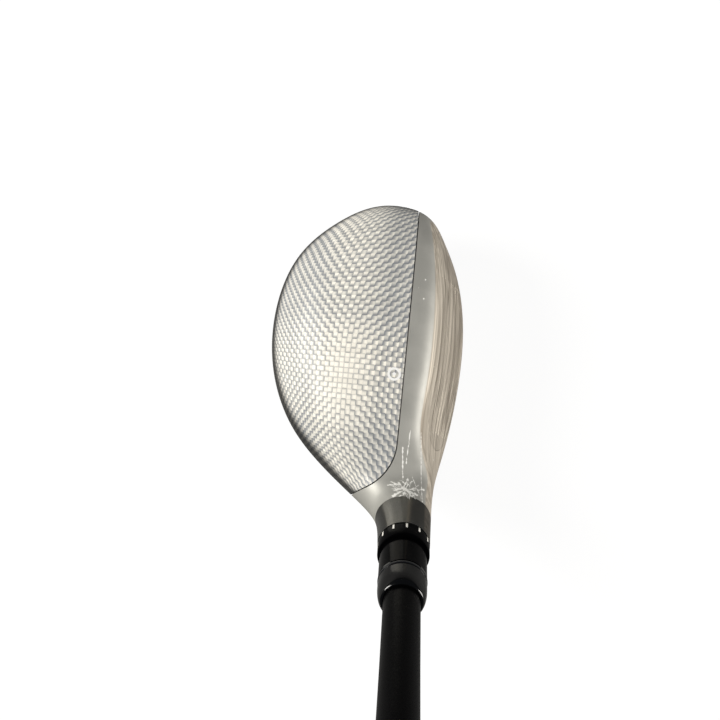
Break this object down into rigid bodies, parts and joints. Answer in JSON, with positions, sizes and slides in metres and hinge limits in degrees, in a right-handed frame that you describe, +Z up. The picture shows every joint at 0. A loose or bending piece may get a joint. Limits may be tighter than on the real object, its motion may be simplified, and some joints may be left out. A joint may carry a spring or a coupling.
{
  "type": "hybrid golf club",
  "caption": "Left-handed hybrid golf club with a steel head, woven composite crown, adjustable splined loft sleeve, tapered composite shaft and rubber grip.",
  "frame": {"origin": "on the flat ground on the keel, in the plane of the shaft, with the club standing at address", "axes": "+X towards the target (the face looks along it), +Y towards the toe, +Z up"},
  "size_m": [0.0587, 0.6044, 0.8927],
  "materials": {
    "satin_steel": "satin bead-blasted cast steel, warm grey",
    "brushed_face_steel": "brushed from toe to heel",
    "woven_composite": "silver-grey woven fibre under a clear gloss coat",
    "black_alloy": "black anodised, satin",
    "bright_aluminium": "bright turned",
    "black_plastic": "glossy black",
    "matte_black_composite": "matte black fibre composite",
    "black_rubber": "matte, textured",
    "tape": "matte",
    "brass": "turned",
    "dark_zinc": "dark zinc plate",
    "tungsten_alloy": "fine turned",
    "soft_black": "matte elastomer"
  },
  "bodies": {
    "shaft_assembly": {"shaft": "matte_black_composite", "tip_plug": "brass", "grip_tape": "tape", "grip": "black_rubber", "grip_cap": "soft_black", "ferrule": "black_plastic", "trim_ring": "bright_aluminium", "loft_sleeve": "black_alloy"},
    "head": {"head_body": "satin_steel", "face_plate": "brushed_face_steel", "crown_panel": "woven_composite", "slot_filler": "soft_black", "bolt_washer": "dark_zinc", "bolt_retainer": "soft_black"},
    "bolt": {"hosel_bolt": "dark_zinc"},
    "seal": {"weight_seal": "soft_black"},
    "weight": {"sole_weight": "tungsten_alloy"}
  },
  "joints": [
    {"name": "head_release", "type": "slide", "parent": "shaft_assembly", "child": "head", "axis": [0, 0.4848, -0.8746], "range_m": [0, 0.007]},
    {"name": "bolt_turn", "type": "hinge", "parent": "head", "child": "bolt", "pos_m": [0, -0.05628, 0.04994], "axis": [0, 0.4848, -0.8746], "range_deg": [0, 3150]},
    {"name": "weight_lift", "type": "slide", "parent": "head", "child": "seal", "axis": [-0.269, -0.0005, -0.9631], "range_m": [0, 0.0055]},
    {"name": "weight_turn", "type": "hinge", "parent": "seal", "child": "weight", "pos_m": [-0.029, 0.002, 0.00306], "axis": [-0.269, -0.0005, -0.9631], "range_deg": [0, 1980]}
  ],
  "couplings": [
    {"joint": "head_release", "follows": "bolt_turn", "m_per_rad": 0.00012732},
    {"joint": "weight_lift", "follows": "weight_turn", "m_per_rad": 0.00015915}
  ]
}
